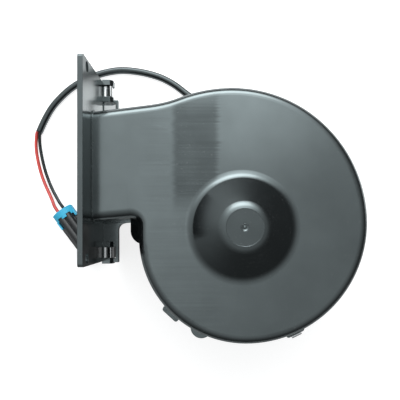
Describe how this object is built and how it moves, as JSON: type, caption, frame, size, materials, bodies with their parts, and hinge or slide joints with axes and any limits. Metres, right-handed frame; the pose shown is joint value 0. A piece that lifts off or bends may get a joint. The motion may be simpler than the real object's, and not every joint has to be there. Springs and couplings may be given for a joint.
{
  "type": "heater blower motor",
  "caption": "Black scroll-housed centrifugal heater blower: bolted outlet flange, domed front, forward-curved wheel on a motor in the rear inlet, and a sleeved lead with a blue-locked plug.",
  "frame": {"origin": "centre of the outlet flange's outer sealing face, on the joint plane of the two housing halves", "axes": "+X from the flange into the blower, +Y up along the flange plate, +Z along the fan axis from the motor to the domed front"},
  "size_m": [0.3134, 0.2618, 0.136],
  "materials": {
    "housing": "satin moulded black",
    "wheel": "satin moulded dark grey",
    "spring_steel": "bright spring strip",
    "ground_steel": "ground",
    "lamination": "stacked sheet",
    "copper": "enamelled and bare copper",
    "fibre": "pressed fibre",
    "can": "zinc plated",
    "bell": "glass filled",
    "rubber": "matt",
    "zinc": "zinc plated",
    "ferrite": "sintered",
    "bronze": "sintered bronze and brass",
    "carbon": "carbon",
    "sleeve": "satin sleeving",
    "red_pvc": "wire insulation",
    "black_pvc": "wire insulation",
    "connector": "moulded black",
    "lock_blue": "moulded sky blue",
    "seal_green": "silicone"
  },
  "bodies": {
    "blower": {"front_housing": "housing", "rear_housing": "housing", "inlet_ring": "housing", "motor_cradle": "housing", "housing_clips": "spring_steel", "motor_can": "can", "end_bell": "bell", "motor_plate": "can", "motor_grommets": "rubber", "motor_screws": "zinc", "through_bolts": "zinc", "field_magnets": "ferrite", "front_bush": "bronze", "rear_bush": "bronze", "brush_card": "fibre", "brush_boxes": "bronze", "brush_spring_a": "bronze", "brush_spring_b": "bronze", "lead_grommet": "rubber", "lead_sleeve": "sleeve", "red_wire": "red_pvc", "black_wire": "black_pvc", "connector_body": "connector", "wire_seals": "seal_green", "terminals": "bronze"},
    "rotor": {"blower_wheel": "wheel", "wheel_clip": "spring_steel", "motor_shaft": "ground_steel", "armature_core": "lamination", "armature_windings": "copper", "commutator": "copper", "thrust_washers": "fibre"},
    "lock": {"connector_lock": "lock_blue"},
    "brush_a": {"brush_a": "carbon"},
    "brush_b": {"brush_b": "carbon"}
  },
  "joints": [
    {"name": "fan_spin", "type": "hinge", "parent": "blower", "child": "rotor", "pos_m": [0.1215, -0.0485, 0], "axis": [0, 0, 1], "continuous": true},
    {"name": "lock_slide", "type": "slide", "parent": "blower", "child": "lock", "axis": [-0.6, 0.8, 0], "range_m": [0, 0.005]},
    {"name": "brush_a_slide", "type": "slide", "parent": "blower", "child": "brush_a", "axis": [0, 1, 0], "range_m": [0, 0.002], "stiffness_N_per_m": 300, "springref_m": -0.006, "deforming": ["brush_spring_a"]},
    {"name": "brush_b_slide", "type": "slide", "parent": "blower", "child": "brush_b", "axis": [0, -1, 0], "range_m": [0, 0.002], "stiffness_N_per_m": 300, "springref_m": -0.006, "deforming": ["brush_spring_b"]}
  ]
}
